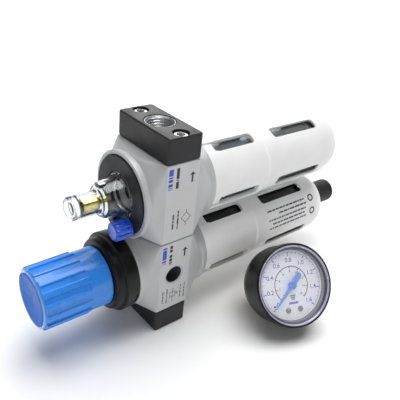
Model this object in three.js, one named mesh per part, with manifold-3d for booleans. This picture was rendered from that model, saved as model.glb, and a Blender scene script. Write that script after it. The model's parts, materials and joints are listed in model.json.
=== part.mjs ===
// Filter regulator lubricator: two 40 mm modules between port blocks, with a loose pressure gauge.
// Millimetres, +Z up. The unit stands on its inlet block, the bowls point to +X and the regulator
// knob to -X, and the marked front faces -Y. The gauge lies on the same surface, in front.
import * as THREE from 'three';
import { mergeVertices } from 'three/addons/utils/BufferGeometryUtils.js';
import { ConvexGeometry } from 'three/addons/geometries/ConvexGeometry.js';
import Module from 'manifold-3d';

// ---------------------------------------------------------------- driving dimensions
const PITCH = 40;                       // module height along the air flow
const BLOCK_HEIGHT = 12;                // port block, along the air flow
const HALF_WIDTH = 19.3;                // front and rear faces, in Y
const HALF_DEPTH = 9.15;                // block faces, in X
const JOINT_GAP = 0.1;                  // each side of a joint between stacked pieces

const FILTER_Z = BLOCK_HEIGHT + PITCH / 2;
const OILER_Z = FILTER_Z + PITCH;
const TOP_Z = 2 * BLOCK_HEIGHT + 2 * PITCH;
const MODULE_JOINT_Z = BLOCK_HEIGHT + PITCH;

const HEAD_FRONT_X = -19.2;             // knob side face of both housings
const HEAD_REAR_X = 20.5;               // bowl side rim of both housings
const BARREL_R = 19.2;
const FLANGE_R = 20.4;
const BOWL_BORE_R = 16.5;
const GUARD_BORE_R = 18.4;
const GUARD_INNER_R = 17.2;
const GUARD_END_X = 118;
const KNOB_END_X = -62.6;               // rim of the knob's end
const CAP_CREST_X = -63.3;              // top of the domed cap in that end
const KNOB_R = 14.3;
const DRAIN_END_X = 139.8;
const SCREW_Y = 15;
const PORT_R = 7.1;                     // seat of the threaded port insert
const GAUGE_PORT_R = 4.85;
const FOOTPRINT_SHIFT_X = -38.6;        // from the middle of the blocks to that of the footprint
const FOOTPRINT_SHIFT_Y = 23.4;         // from the bowl axes to the middle of the footprint
const SLOT_ANGLE = 66;                  // degrees from the front towards the top
const FILLER = { y: -8.6, z: OILER_Z - 11.8 };
const RELIEF = { y: 3.4, z: OILER_Z - 13.2 };
const PICKUP_Y = 7;

const WIDE = 28;                        // sides of the widest turned pieces
const ROUND = 24;                       // sides of the other large ones
const SMALL = 12;                       // sides of a small one

// ---------------------------------------------------------------- materials
function finish(color, roughness, metalness, opacity = 1) {
  return new THREE.MeshStandardMaterial({
    color, roughness, metalness, opacity, transparent: opacity < 1,
  });
}
const MATERIALS = {
  housing: finish(0xd6d8d8, 0.5, 0.3),
  black: finish(0x2a2a2e, 0.55, 0.1),
  white: finish(0xf0f1f1, 0.45, 0.1),
  blue: finish(0x2f74e0, 0.4, 0.0),
  paleBlue: finish(0x6ab0f5, 0.4, 0.0),
  clear: finish(0xe8f0f4, 0.1, 0.0, 0.35),
  smoked: finish(0x3c3c44, 0.2, 0.0, 0.7),
  brass: finish(0xc9a44a, 0.35, 1.0),
  steel: finish(0xb8bbc0, 0.3, 1.0),
  rubber: finish(0x18181a, 0.8, 0.0),
  nylon: finish(0xe4e2da, 0.6, 0.0),
  dial: finish(0xe6e6f2, 0.5, 0.0),
};

// ---------------------------------------------------------------- solids
const wasm = await Module();
wasm.setup();

function signedVolume(position, index) {
  let volume = 0;
  const corner = [new THREE.Vector3(), new THREE.Vector3(), new THREE.Vector3()];
  for (let i = 0; i < index.length; i += 3) {
    corner.forEach((point, k) => point.fromArray(position, 3 * index[i + k]));
    volume += corner[0].dot(corner[1].cross(corner[2])) / 6;
  }
  return volume;
}

// A closed three.js geometry as a solid with its faces pointing out.
function solid(geometry) {
  const bare = geometry.clone();
  bare.deleteAttribute('normal');
  bare.deleteAttribute('uv');
  const merged = mergeVertices(bare, 1e-4);
  const position = merged.getAttribute('position').array;
  const all = merged.index.array;
  const index = [];
  for (let i = 0; i < all.length; i += 3) {
    const [a, b, c] = [all[i], all[i + 1], all[i + 2]];
    if (a !== b && b !== c && c !== a) {
      index.push(a, b, c);
    }
  }
  if (signedVolume(position, index) < 0) {
    index.reverse();
  }
  return new wasm.Manifold(new wasm.Mesh({
    numProp: 3,
    vertProperties: new Float32Array(position),
    triVerts: new Uint32Array(index),
  }));
}

function join(first, ...others) {
  return others.reduce((whole, piece) => whole.add(piece), first);
}

function cut(first, ...others) {
  return others.reduce((whole, piece) => whole.subtract(piece), first);
}

// ---------------------------------------------------------------- shape helpers
// A profile of [x, radius] points turned about an axis along X.
function turnedX(profile, { y = 0, z = 0, sides = ROUND } = {}) {
  const points = profile.map(([along, radius]) => new THREE.Vector2(radius, along));
  const geometry = new THREE.LatheGeometry(points, sides);
  geometry.rotateZ(-Math.PI / 2);
  geometry.translate(0, y, z);
  return solid(geometry);
}

// A profile of [z, radius] points turned about an axis along Z.
function turnedZ(profile, { x = 0, y = 0, sides = SMALL } = {}) {
  const points = profile.map(([along, radius]) => new THREE.Vector2(radius, along));
  const geometry = new THREE.LatheGeometry(points, sides);
  geometry.rotateX(Math.PI / 2);
  geometry.translate(x, y, 0);
  return solid(geometry);
}

function rodX(radius, from, to, options) {
  return turnedX([[from, 0], [from, radius], [to, radius], [to, 0]], options);
}

function rodZ(radius, from, to, options) {
  return turnedZ([[from, 0], [from, radius], [to, radius], [to, 0]], options);
}

function rodY(radius, from, to, { x = 0, z = 0, sides = SMALL } = {}) {
  const geometry = new THREE.CylinderGeometry(radius, radius, to - from, sides);
  geometry.translate(x, (from + to) / 2, z);
  return solid(geometry);
}

function tubeX(outer, inner, from, to, options) {
  return turnedX([[from, inner], [from, outer], [to, outer], [to, inner], [from, inner]], options);
}

function box([x0, x1], [y0, y1], [z0, z1]) {
  const geometry = new THREE.BoxGeometry(x1 - x0, y1 - y0, z1 - z0);
  geometry.translate((x0 + x1) / 2, (y0 + y1) / 2, (z0 + z1) / 2);
  return solid(geometry);
}

// A rectangle with rounded corners, centred on [cx, cy].
function roundedRectangle(width, height, radius, cx = 0, cy = 0) {
  const [w, h] = [width / 2 - radius, height / 2 - radius];
  const shape = new THREE.Shape();
  shape.absarc(cx + w, cy + h, radius, 0, Math.PI / 2);
  shape.absarc(cx - w, cy + h, radius, Math.PI / 2, Math.PI);
  shape.absarc(cx - w, cy - h, radius, Math.PI, 1.5 * Math.PI);
  shape.absarc(cx + w, cy - h, radius, 1.5 * Math.PI, 2 * Math.PI);
  return shape;
}

function extruded(shape, depth, curveSegments = 4) {
  return new THREE.ExtrudeGeometry(shape, { depth, bevelEnabled: false, curveSegments });
}

// A ring of round section about an axis along X or Z.
function ring(major, minor, { x = 0, y = 0, z = 0, axis = 'x', sides = 20 } = {}) {
  const geometry = new THREE.TorusGeometry(major, minor, 5, sides);
  if (axis === 'x') {
    geometry.rotateY(Math.PI / 2);
  }
  geometry.translate(x, y, z);
  return solid(geometry);
}

// The path of a coil spring along X.
class CoilPath extends THREE.Curve {
  constructor(radius, from, to, turns, z) {
    super();
    Object.assign(this, { radius, from, to, turns, z });
  }

  getPoint(t, target = new THREE.Vector3()) {
    const angle = 2 * Math.PI * this.turns * t;
    return target.set(
      THREE.MathUtils.lerp(this.from, this.to, t),
      this.radius * Math.cos(angle),
      this.z + this.radius * Math.sin(angle),
    );
  }
}

function circleShape(radius) {
  const shape = new THREE.Shape();
  shape.absarc(0, 0, radius, 0, 2 * Math.PI);
  return shape;
}

function coil(radius, wireRadius, from, to, turns, z) {
  const geometry = new THREE.ExtrudeGeometry(circleShape(wireRadius), {
    steps: Math.round(turns * 10),
    curveSegments: 2,
    extrudePath: new CoilPath(radius, from, to, turns, z),
  });
  return solid(geometry);
}

// ---------------------------------------------------------------- the assembly
const assembly = new THREE.Group();

function put(name, shape, material, parent = assembly) {
  const { vertProperties, triVerts } = shape.getMesh();
  const geometry = new THREE.BufferGeometry();
  geometry.setAttribute('position', new THREE.BufferAttribute(vertProperties, 3));
  geometry.setIndex(new THREE.BufferAttribute(triVerts, 1));
  const mesh = new THREE.Mesh(geometry, MATERIALS[material]);
  mesh.name = name;
  parent.add(mesh);
}

// ---------------------------------------------------------------- port blocks
// One end block. Its outer face is at outerZ, and side is +1 where the module lies above it.
function portBlock(name, outerZ, side) {
  const at = (depth) => outerZ + side * depth;
  const span = (a, b) => [Math.min(at(a), at(b)), Math.max(at(a), at(b))];
  const bodyGeometry = extruded(
    roundedRectangle(2 * HALF_DEPTH, 2 * HALF_WIDTH, 1.2), BLOCK_HEIGHT - JOINT_GAP);
  bodyGeometry.translate(0, 0, span(0, BLOCK_HEIGHT - JOINT_GAP)[0]);
  let body = cut(solid(bodyGeometry), rodZ(PORT_R, ...span(-1, 13), { sides: ROUND }));
  for (const y of [-SCREW_Y, SCREW_Y]) {
    body = cut(body, rodZ(3.65, ...span(-1, 5.5), { y }), rodZ(2.1, ...span(5, 13), { y }));
  }
  put(`${name}_block`, body, 'black');

  const thread = [
    [at(0.3), 6.6], [at(0.3), 6.85], [at(11.4), 6.85], [at(11.4), 5.75], [at(1.6), 5.75],
    [at(0.3), 6.6],
  ];
  put(`${name}_thread_insert`, turnedZ(thread, { sides: ROUND }), 'steel');

  [['front', -SCREW_Y], ['rear', SCREW_Y]].forEach(([place, y]) => {
    const screw = turnedZ([
      [at(1.3), 0], [at(1.3), 2.8], [at(1.6), 3.1], [at(5.3), 3.1], [at(5.3), 1.8],
      [at(20), 1.8], [at(20), 0],
    ], { y });
    const socket = rodZ(1.7, ...span(0, 3.6), { y, sides: 6 });
    put(`${name}_block_screw_${place}`, cut(screw, socket), 'steel');
  });
}

// ---------------------------------------------------------------- housings
// The cast body of one module: a square core between the joints, a round barrel through it, and
// sloping webs from the core's corners to the barrel.
function castBody(z, bottom, top, frontFlangeR) {
  const core = box([-HALF_DEPTH, HALF_DEPTH], [-HALF_WIDTH, HALF_WIDTH], [bottom, top]);
  const barrel = rodX(BARREL_R, HEAD_FRONT_X, HEAD_REAR_X, { z, sides: WIDE });
  const webs = [-1, 1].map((side) => {
    const points = [];
    for (const y of [-HALF_WIDTH, HALF_WIDTH]) {
      points.push(new THREE.Vector3(side * HALF_DEPTH, y, bottom));
      points.push(new THREE.Vector3(side * HALF_DEPTH, y, top));
    }
    for (let i = 0; i < WIDE; i += 1) {
      const angle = (2 * Math.PI * i) / WIDE;
      const [dy, dz] = [BARREL_R * Math.sin(angle), BARREL_R * Math.cos(angle)];
      points.push(new THREE.Vector3(side * 15.8, dy, z + dz));
    }
    return solid(new ConvexGeometry(points));
  });
  const flange = turnedX([
    [HEAD_FRONT_X, 0], [HEAD_FRONT_X, frontFlangeR - 0.4], [HEAD_FRONT_X + 0.4, frontFlangeR],
    [HEAD_FRONT_X + 2.4, frontFlangeR], [HEAD_FRONT_X + 2.9, BARREL_R - 1],
    [HEAD_FRONT_X + 2.9, 0],
  ], { z, sides: WIDE });
  return join(core, barrel, ...webs, flange);
}

// The hollow that takes a bowl and the neck of its guard.
function bowlBore(z, from) {
  return join(
    rodX(BOWL_BORE_R, from, HEAD_REAR_X + 1, { z }),
    rodX(GUARD_BORE_R, 13.5, HEAD_REAR_X + 1, { z }),
  );
}

// Holes for the block screws and the studs that join the modules.
function fastenerHoles(from, to) {
  return [-SCREW_Y, SCREW_Y].map((y) => rodZ(2.05, from, to, { y }));
}

// The groove of the seal between the modules, in the face at z.
function sealGroove(z) {
  const profile = [[z - 0.8, 3.7], [z - 0.8, 5.5], [z + 0.8, 5.5], [z + 0.8, 3.7], [z - 0.8, 3.7]];
  return turnedZ(profile, { x: -3, sides: 24 });
}

function regulatorHousing() {
  const bottom = BLOCK_HEIGHT + JOINT_GAP;
  const top = MODULE_JOINT_Z - JOINT_GAP;
  const z = FILTER_Z;
  const housing = cut(
    castBody(z, bottom, top, BARREL_R),
    bowlBore(z, 5.5),
    rodX(12, HEAD_FRONT_X - 1, -3, { z }),
    rodX(4.2, -4, 6, { z, sides: SMALL }),
    rodZ(5.5, bottom - 1, bottom + 6.5),
    rodX(3, 0, 7, { z: bottom + 5.5, sides: SMALL }),
    rodZ(3.2, z + 9, top + 1, { x: -3 }),
    rodY(GAUGE_PORT_R, -HALF_WIDTH - 1, -11, { z }),
    rodY(GAUGE_PORT_R, 11, HALF_WIDTH + 1, { z }),
    sealGroove(top),
    ...fastenerHoles(bottom - 1, bottom + 9),
    ...fastenerHoles(top - 10, top + 1),
  );
  put('regulator_housing', housing, 'housing');
  const plug = cut(
    rodY(GAUGE_PORT_R - 0.25, 12.4, HALF_WIDTH - 0.4, { z }),
    rodY(2.4, HALF_WIDTH - 4, HALF_WIDTH + 1, { z, sides: 6 }),
  );
  put('rear_port_plug', plug, 'steel');
}

function lubricatorHousing() {
  const bottom = MODULE_JOINT_Z + JOINT_GAP;
  const top = TOP_Z - BLOCK_HEIGHT - JOINT_GAP;
  const z = OILER_Z;
  const housing = cut(
    castBody(z, bottom, top, FLANGE_R),
    bowlBore(z, 6.5),
    rodX(18.5, HEAD_FRONT_X - 1, -17.4, { z, sides: WIDE }),
    rodX(8.6, HEAD_FRONT_X - 1, -10, { z }),
    rodX(1.2, -11, -5, { z, sides: 12 }),
    rodX(1.1, -11, 4, { y: PICKUP_Y, z, sides: 12 }),
    rodX(2.2, 3.5, 7.5, { y: PICKUP_Y, z, sides: 16 }),
    rodZ(3.2, bottom - 1, z, { x: -3 }),
    rodZ(5.2, z - 6, top + 1),
    rodX(2.9, HEAD_FRONT_X - 1, 8, { ...FILLER, sides: SMALL }),
    rodX(1.9, HEAD_FRONT_X - 1, -13.5, { ...RELIEF, sides: 16 }),
    sealGroove(bottom),
    ...fastenerHoles(bottom - 1, bottom + 10),
    ...fastenerHoles(top - 9, top + 1),
  );
  put('lubricator_housing', housing, 'housing');
}

function moduleJoint() {
  put('module_seal', ring(4.6, 0.7, { x: -3, z: MODULE_JOINT_Z, axis: 'z' }), 'rubber');
  [['front', -SCREW_Y], ['rear', SCREW_Y]].forEach(([place, y]) => {
    const stud = rodZ(1.8, MODULE_JOINT_Z - 9, MODULE_JOINT_Z + 9, { y });
    put(`module_stud_${place}`, stud, 'steel');
  });
  const venturi = turnedZ([
    [72, 4], [72, 4.9], [88, 4.9], [88, 4], [81, 2], [79, 2], [72, 4],
  ]);
  put('venturi_insert', venturi, 'brass');
}

// ---------------------------------------------------------------- regulator, knob side
function regulatorDrive() {
  const z = FILTER_Z;
  const collar = turnedX([
    [-19.5, 14.8], [-19.5, 19.1], [-20, 19.5], [-25.4, 19.5], [-26, 18.9], [-26.2, 17.6],
    [-29, 17.4], [-30.1, 16.3], [-30.1, 11.3], [-24.4, 11.3], [-24.4, 14.8], [-19.5, 14.8],
  ], { z, sides: WIDE });
  put('regulator_collar_nut', collar, 'black');

  const bonnet = turnedX([
    [-21, 8.6], [-21, 14.4], [-24, 14.4], [-24, 11], [-46, 11], [-46, 3.4], [-43, 3.4],
    [-43, 8.6], [-21, 8.6],
  ], { z });
  put('regulator_bonnet', bonnet, 'black');

  put('diaphragm', rodX(14.3, -20.7, -19.5, { z }), 'rubber');
  put('diaphragm_plate', rodX(8, -19.2, -18.3, { z, sides: 24 }), 'steel');
  put('spring_seat_plate', rodX(8.2, -22.2, -20.95, { z, sides: 24 }), 'steel');
  put('setting_spring', coil(6.6, 0.9, -36.7, -23.3, 4.5, z), 'steel');
  put('spring_plate', tubeX(8.2, 3.3, -41.8, -37.9, { z, sides: 24 }), 'brass');

  const spindle = turnedX([
    [-24.5, 0], [-24.5, 3], [-46.3, 3], [-46.3, 5.5], [-48.8, 5.5], [-48.8, 0],
  ], { z, sides: SMALL });
  const drive = rodX(4, -57, -48.5, { z, sides: 6 });
  put('adjusting_spindle', join(spindle, drive), 'brass');

  const shell = turnedX([
    [-61, 0], [-61, 11.6], [-62.2, 11.6], [KNOB_END_X, 12.1], [KNOB_END_X, 13.2], [-61.4, 14],
    [-30.4, KNOB_R], [-30.4, 12], [-57.5, 12], [-57.5, 6.6], [-50.5, 6.6], [-50.5, 4.35],
    [-58.3, 4.35], [-58.3, 0],
  ], { z });
  const ribs = [];
  const ribCount = 20;
  for (let i = 0; i < ribCount; i += 1) {
    const geometry = new THREE.BoxGeometry(20.4, 2, 1.4);
    geometry.translate(-51.2, 0, 14.1);
    geometry.rotateX((2 * Math.PI * i) / ribCount);
    geometry.translate(0, 0, z);
    ribs.push(solid(geometry));
  }
  put('adjusting_knob', join(shell, ...ribs), 'blue');
  const cap = turnedX([
    [-61.3, 0], [-61.3, 11.3], [-61.9, 11.3], [-62.5, 10.2], [-63, 7.4], [CAP_CREST_X, 3.4],
    [CAP_CREST_X, 0],
  ], { z });
  put('knob_end_cap', cap, 'paleBlue');
}

// ---------------------------------------------------------------- regulator, valve side
function regulatorValve() {
  const z = FILTER_Z;
  put('valve_seat', tubeX(4, 2.4, -2.8, 6, { z, sides: SMALL }), 'brass');
  const plug = turnedX([
    [-18, 0], [-18, 1.3], [6.3, 1.3], [6.3, 4.2], [9, 4.2], [9.3, 1.8], [19, 1.8], [19, 0],
  ], { z, sides: SMALL });
  put('valve_plug', plug, 'brass');
  put('valve_spring', coil(3.3, 0.45, 9.95, 16.6, 4.5, z), 'steel');
  const cage = turnedX([
    [6.6, 5], [6.6, 6.2], [20, 6.2], [20, 2.1], [17.6, 2.1], [17.6, 5], [6.6, 5],
  ], { z, sides: SMALL });
  const windows = [rodY(1.6, -7, 7, { x: 12, z, sides: 12 }), rodZ(1.6, z - 7, z + 7, { x: 12 })];
  put('valve_cage', cut(cage, ...windows), 'black');
}

// ---------------------------------------------------------------- filter bowl and its contents
function filterInternals() {
  const z = FILTER_Z;
  let swirl = tubeX(13.6, 7, 20.6, 24.4, { z });
  const vaneCount = 12;
  for (let i = 0; i < vaneCount; i += 1) {
    const geometry = new THREE.BoxGeometry(6, 1.6, 3.4);
    geometry.rotateZ(0.6);
    geometry.translate(22.5, 0, 13);
    geometry.rotateX((2 * Math.PI * i) / vaneCount);
    geometry.translate(0, 0, z);
    swirl = cut(swirl, solid(geometry));
  }
  put('swirl_ring', swirl, 'black');
  put('filter_element', tubeX(9.8, 7, 24.8, 59.8, { z }), 'nylon');
  const baffle = turnedX([
    [60.2, 2.3], [60.2, 6], [64.6, 12.6], [65.8, 12.6], [62, 5.8], [62, 2.3], [60.2, 2.3],
  ], { z });
  put('baffle', baffle, 'black');
  const rod = turnedX([
    [20.4, 0], [20.4, 2], [66.2, 2], [66.2, 3.6], [68.6, 3.6], [69, 0],
  ], { z, sides: 16 });
  put('filter_tie_rod', rod, 'black');
}

const BOWL_NECK = [[6.9, 15.6], [7.4, 16.1], [8.4, 16.1], [8.4, 15.2], [10.2, 15.2], [10.2, 16.1]];

function filterBowl() {
  const z = FILTER_Z;
  const bowl = turnedX([
    [6.9, 14.4], ...BOWL_NECK, [98, 15.9], [105, 13.5], [108.8, 8.5], [109.2, 6.2],
    [121, 6.2], [121, 3.2], [107.2, 3.2], [107, 7], [103.6, 12], [97, 14.2], [6.9, 14.4],
  ], { z, sides: ROUND });
  put('filter_bowl', bowl, 'smoked');
  put('filter_bowl_seal', ring(15.83, 0.5, { x: 9.3, z }), 'rubber');

  const stem = turnedX([[104, 0], [104, 2.9], [125.6, 2.9], [125.6, 0]], { z, sides: 16 });
  put('drain_stem', cut(stem, rodX(1.1, 103, 127, { z, sides: 8 })), 'black');
  const knob = turnedX([
    [119, 6.5], [119, 7.2], [138.6, 7.2], [DRAIN_END_X, 6.6], [DRAIN_END_X, 2.4],
    [131, 2.4], [131, 1.4], [126, 1.4], [126, 3.2], [121.4, 3.2], [121.4, 6.5], [119, 6.5],
  ], { z });
  put('drain_knob', knob, 'black');
}

function oilBowl() {
  const z = OILER_Z;
  const bowl = turnedX([
    [6.9, 14.4], ...BOWL_NECK, [98, 15.9], [105, 13.5], [109, 8.5], [110.4, 0],
    [108.6, 0], [107, 7.4], [103.6, 12], [97, 14.2], [6.9, 14.4],
  ], { z, sides: ROUND });
  put('lubricator_bowl', bowl, 'clear');
  put('lubricator_bowl_seal', ring(15.83, 0.5, { x: 9.3, z }), 'rubber');
  const tube = tubeX(1.9, 1, 4, 98, { y: PICKUP_Y, z, sides: 12 });
  put('pickup_tube', tube, 'nylon');
  const strainer = turnedX([
    [90, 2.2], [90, 3.6], [101, 3.6], [102, 0], [100, 0], [98.4, 2.2], [90, 2.2],
  ], { y: PICKUP_Y, z, sides: 16 });
  put('pickup_strainer', strainer, 'brass');
}

// A cutter that runs outwards through the guard wall at an angle from the front towards the top.
function slotCutter(from, to, angle, z) {
  const shape = roundedRectangle(to - from, 6.8, 2.6, (from + to) / 2, 0);
  const geometry = extruded(shape, 8, 1);
  geometry.translate(0, 0, 14);
  geometry.rotateX(THREE.MathUtils.degToRad(90 - angle));
  geometry.translate(0, 0, z);
  return solid(geometry);
}

// The perforated metal guard over a bowl, with two tiers of four slots.
function bowlGuard(name, z, holeR) {
  const outer = [
    [13.9, 18.1], [20.8, 18.1], [20.8, 19], [57, 19], [58.2, 18.4], [108, 18.2],
    [113.6, 16.5], [GUARD_END_X, 12],
  ];
  const inner = [[107, GUARD_INNER_R], [112.6, 15.4], [116.4, 11.4]];
  const middle = holeR > 0
    ? [[GUARD_END_X, holeR], [116.6, holeR]]
    : [[GUARD_END_X, 0], [116.6, 0]];
  const neck = [13.9, GUARD_INNER_R];
  const profile = [neck, ...outer, ...middle, ...inner.reverse(), neck];
  let guard = turnedX(profile, { z });
  for (let turn = 0; turn < 4; turn += 1) {
    const angle = SLOT_ANGLE + 90 * turn;
    guard = cut(guard, slotCutter(27, 52, angle, z), slotCutter(67, 101, angle, z));
  }
  put(name, guard, 'white');
}

// ---------------------------------------------------------------- lubricator, sight side
function lubricatorSight() {
  const z = OILER_Z;
  const disc = cut(
    tubeX(18.2, 10.9, -20, -17.7, { z, sides: WIDE }),
    rodX(3.1, -21, -17, { ...FILLER, sides: SMALL }),
    rodX(2, -21, -17, { ...RELIEF, sides: 16 }),
  );
  put('lubricator_disc', disc, 'black');

  const dome = turnedX([
    [-17.7, 8.3], [-17.7, 10.6], [-19.9, 10.6], [-20.2, 9.6], [-29.6, 8], [-31, 7.2],
    [-31.2, 5.3], [-41, 5.2], [-41, 3.9], [-30.6, 3.9], [-29.4, 6.3], [-20, 8.3], [-17.7, 8.3],
  ], { z });
  put('sight_dome', join(dome, box([-31, -27.6], [-2, 2], [z + 6.6, z + 8.8])), 'clear');

  const screw = turnedX([
    [-41, 0], [-41, 2.2], [-39, 2.2], [-39, 3.3], [-31.6, 3.3], [-30, 1.4], [-25, 1.1], [-24.4, 0],
  ], { z, sides: SMALL });
  put('drip_screw', screw, 'brass');
  put('drip_seal', ring(2.98, 0.5, { x: -39.8, z, sides: SMALL }), 'rubber');
  const adjuster = turnedX([
    [-41.3, 0], [-41.3, 5.3], [-44.2, 5.3], [-44.7, 4.8], [-44.7, 2.8], [-43.6, 2.6], [-43.6, 0],
  ], { z });
  put('drip_adjuster', adjuster, 'clear');

  const cap = turnedX([
    [-12.6, 0], [-12.6, 2.4], [-15.5, 2.4], [-15.5, 2], [-16.5, 2], [-16.5, 2.4], [-20.3, 2.4],
    [-20.3, 4.6], [-27.6, 4.6], [-28.6, 3.8], [-28.6, 0],
  ], { ...FILLER, sides: 20 });
  const fluteCount = 10;
  let filler = cap;
  for (let i = 0; i < fluteCount; i += 1) {
    const angle = (2 * Math.PI * i) / fluteCount;
    const [dy, dz] = [5 * Math.cos(angle), 5 * Math.sin(angle)];
    const flute = rodX(0.8, -30, -21.4, { y: FILLER.y + dy, z: FILLER.z + dz, sides: 6 });
    filler = cut(filler, flute);
  }
  put('oil_filler_cap', filler, 'blue');
  put('filler_seal', ring(2.5, 0.3, { x: -16, ...FILLER, sides: 16 }), 'rubber');

  const relief = turnedX([
    [-14, 0], [-14, 1.6], [-20.3, 1.6], [-20.3, 2.6], [-21.9, 2.6], [-22.2, 2.2], [-22.2, 0],
  ], { ...RELIEF, sides: 12 });
  put('relief_plug', relief, 'black');
}

// ---------------------------------------------------------------- pressure gauge
const BEZEL_R = 21.2;
const CASE_R = 20.3;
const CASE_BACK = { along: -23, radius: 16.8 };
const STEM_END = { along: -39.5, radius: 4.85 };
const GAUGE_HEADING = THREE.MathUtils.degToRad(-19);

// The gauge leans on the back edge of its case and the end of its stem. Its own +Z points out of
// the dial and its own +Y up the dial.
function gauge() {
  const tilt = Math.atan2(
    CASE_BACK.radius - STEM_END.radius, CASE_BACK.along - STEM_END.along);
  const group = new THREE.Group();
  const height = -CASE_BACK.along * Math.sin(tilt) + CASE_BACK.radius * Math.cos(tilt);
  group.rotation.set(Math.PI / 2 - tilt, 0, GAUGE_HEADING, 'ZYX');
  group.position.set(50.6, -53.8, height);
  assembly.add(group);

  const shell = turnedZ([
    [-0.6, 19.4], [-0.6, CASE_R], [-15.5, CASE_R], [CASE_BACK.along, CASE_BACK.radius],
    [CASE_BACK.along, 4.4], [-21, 4.4], [-21, 16], [-14.6, 18.6], [-5, 18.6], [-5, 19.4],
    [-0.6, 19.4],
  ], { sides: ROUND });
  put('gauge_case', shell, 'black', group);
  const bezel = turnedZ([
    [-0.3, 19.2], [-0.3, 20.6], [-4, 20.6], [-4, BEZEL_R], [-0.4, BEZEL_R], [0.2, 20.7],
    [0.2, 19.2], [-0.3, 19.2],
  ], { sides: ROUND });
  put('gauge_bezel', bezel, 'black', group);
  put('gauge_lens', rodZ(19.1, -1.8, -0.5, { sides: ROUND }), 'clear', group);
  const face = turnedZ([[-4.6, 1.2], [-4.6, 19.1], [-4, 19.1], [-4, 1.2], [-4.6, 1.2]], {
    sides: ROUND,
  });
  put('gauge_dial', face, 'dial', group);

  const needle = new THREE.Shape();
  needle.moveTo(-0.7, -7);
  needle.lineTo(0.7, -7);
  needle.lineTo(0.9, 0);
  needle.lineTo(0.2, 13.6);
  needle.lineTo(-0.2, 13.6);
  needle.lineTo(-0.9, 0);
  const needleGeometry = extruded(needle, 0.4);
  needleGeometry.translate(0, 0, -3.1);
  needleGeometry.rotateZ(THREE.MathUtils.degToRad(135));
  put('gauge_pointer', join(solid(needleGeometry), rodZ(2.4, -3.2, -2.3)), 'blue', group);
  put('pointer_shaft', rodZ(0.8, -16.5, -3.5, { sides: 12 }), 'brass', group);

  const plate = cut(
    box([-7, 7], [-9, 9], [-8, -7]),
    rodZ(1.1, -9, -6, { sides: 12 }),
  );
  put('gauge_movement_plate', plate, 'brass', group);
  const arcPath = new THREE.CatmullRomCurve3(Array.from({ length: 14 }, (_, i) => {
    const angle = THREE.MathUtils.degToRad(-90 + i * 18);
    return new THREE.Vector3(13 * Math.cos(angle), 13 * Math.sin(angle), -14);
  }));
  const bourdon = new THREE.ExtrudeGeometry(roundedRectangle(4, 1.8, 0.8), {
    steps: 16,
    curveSegments: 1,
    extrudePath: arcPath,
  });
  put('bourdon_tube', solid(bourdon), 'brass', group);

  const stemHex = turnedZ([[-30.4, 0], [-30.4, 8], [-23.3, 8], [-23.3, 0]], { sides: 4 });
  const stem = join(
    stemHex,
    rodZ(STEM_END.radius, STEM_END.along, -30),
    rodZ(4.1, -24, -18.5),
  );
  put('gauge_stem', cut(stem, rodZ(1.5, -41, -25, { sides: 12 })), 'brass', group);
}

// ---------------------------------------------------------------- build
portBlock('inlet', 0, 1);
portBlock('outlet', TOP_Z, -1);
regulatorHousing();
lubricatorHousing();
moduleJoint();
regulatorDrive();
regulatorValve();
filterInternals();
filterBowl();
bowlGuard('filter_bowl_guard', FILTER_Z, 7.7);
oilBowl();
bowlGuard('lubricator_bowl_guard', OILER_Z, 0);
lubricatorSight();
gauge();

// The origin is at the middle of the whole footprint, on the surface that everything stands on.
assembly.position.set(FOOTPRINT_SHIFT_X, FOOTPRINT_SHIFT_Y, 0);
assembly.updateMatrixWorld(true);

export default assembly;
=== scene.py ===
import json
import random
from math import atan2, cos, pi, radians, sin

import bmesh
import bpy
from mathutils import Matrix, Vector


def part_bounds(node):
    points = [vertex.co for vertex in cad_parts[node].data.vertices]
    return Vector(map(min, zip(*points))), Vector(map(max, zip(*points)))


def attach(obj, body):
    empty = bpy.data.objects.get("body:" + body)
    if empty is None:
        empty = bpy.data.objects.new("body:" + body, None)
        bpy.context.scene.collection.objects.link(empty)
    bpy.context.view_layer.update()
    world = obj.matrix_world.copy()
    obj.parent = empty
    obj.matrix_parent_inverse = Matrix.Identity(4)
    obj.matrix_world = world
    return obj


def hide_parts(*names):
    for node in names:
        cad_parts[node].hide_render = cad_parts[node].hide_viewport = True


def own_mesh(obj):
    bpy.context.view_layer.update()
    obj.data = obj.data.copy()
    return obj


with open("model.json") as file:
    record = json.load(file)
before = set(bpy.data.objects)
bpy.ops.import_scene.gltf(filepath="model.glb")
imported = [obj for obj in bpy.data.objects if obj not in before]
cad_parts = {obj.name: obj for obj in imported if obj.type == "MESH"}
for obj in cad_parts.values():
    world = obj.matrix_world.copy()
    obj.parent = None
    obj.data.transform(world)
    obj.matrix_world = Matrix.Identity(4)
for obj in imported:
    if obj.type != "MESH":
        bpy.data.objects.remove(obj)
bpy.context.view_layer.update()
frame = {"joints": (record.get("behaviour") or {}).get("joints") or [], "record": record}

# The looks of a filter regulator lubricator. Shapes are built in millimetres in the part's own
# frame: x = 0, y = 0 is the middle of the port blocks, z = 0 is the surface it stands on. Angles
# round the bowl axes are in degrees from the front (-Y) towards the top (+Z).
MM = 0.001


# ---- places, from the frame
def middle(node):
    low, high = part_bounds(node)
    return (low + high) / 2


ORIGIN = Vector((middle("inlet_block").x, middle("inlet_block").y, 0))
TO_ROW = Matrix.Translation(ORIGIN) @ Matrix.Scale(MM, 4)


def part_box(node):
    """The lowest and highest corner of a node, in millimetres in the part's own frame."""
    low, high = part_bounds(node)
    return (low - ORIGIN) / MM, (high - ORIGIN) / MM


def axis_of(node):
    """A point on the axis along X that a node is turned about."""
    centre = (middle(node) - ORIGIN) / MM
    return (0, centre.y, centre.z)


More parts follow.
